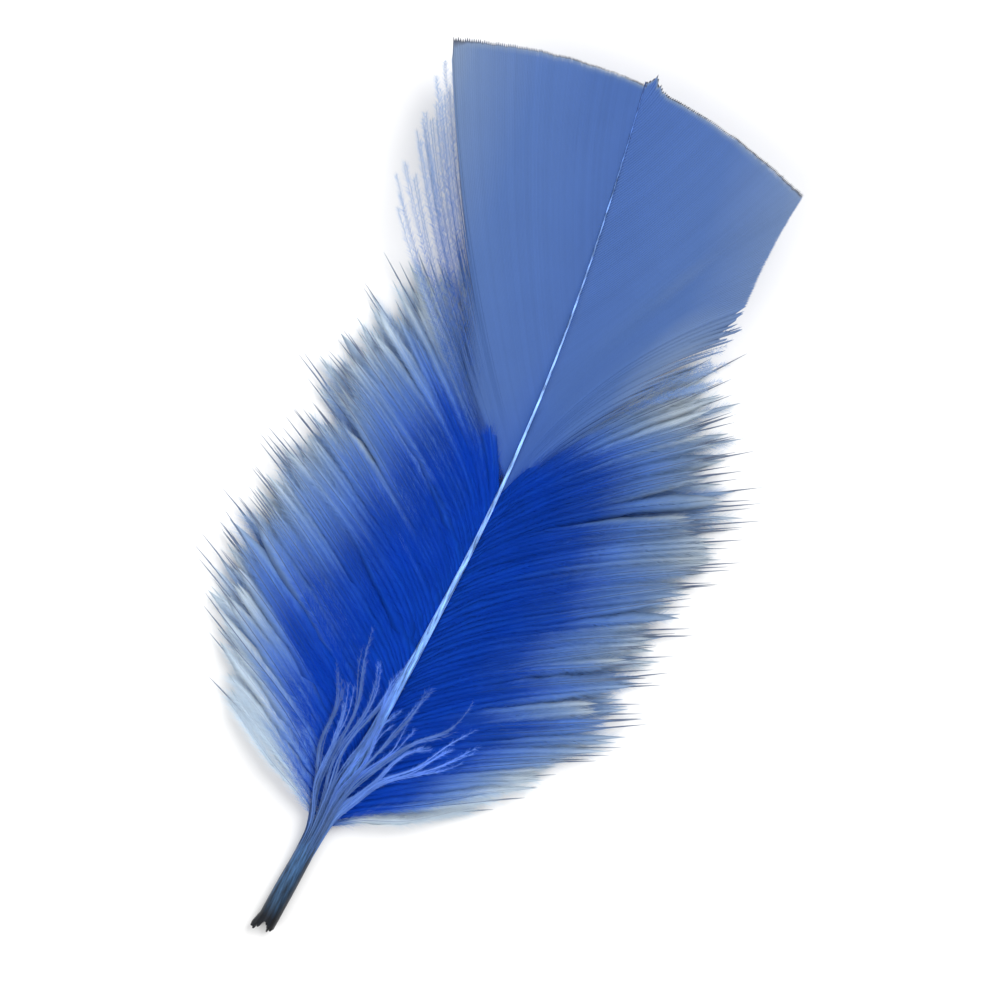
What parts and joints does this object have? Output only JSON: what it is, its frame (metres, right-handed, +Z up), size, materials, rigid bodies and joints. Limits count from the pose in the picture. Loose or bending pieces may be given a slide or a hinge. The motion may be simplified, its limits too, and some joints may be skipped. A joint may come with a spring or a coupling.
{
  "type": "dyed plumage feather",
  "caption": "Loose blue-dyed body feather with a cut quill, bowed shaft, squared flat vanes, downy sides and an afterfeather, lying hollow side up.",
  "frame": {"origin": "under the middle of the feather, on the surface that it lies on", "axes": "+Y from the quill's cut end to the tip, +Z up, away from the surface, +X to the right as seen from above with the tip ahead"},
  "size_m": [0.0654, 0.123, 0.0118],
  "materials": {
    "shaft": "dyed keratin, satin, near black at the cut end",
    "vane": "dyed closed barbs, soft silky sheen",
    "down": "dyed loose down, matte, paler at the tips",
    "afterfeather": "dyed matted barbs, shiny"
  },
  "bodies": {
    "root": {"shaft": "shaft", "vane_left": "vane", "vane_right": "vane", "down_left": "down", "down_right": "down", "afterfeather": "afterfeather"}
  },
  "joints": []
}
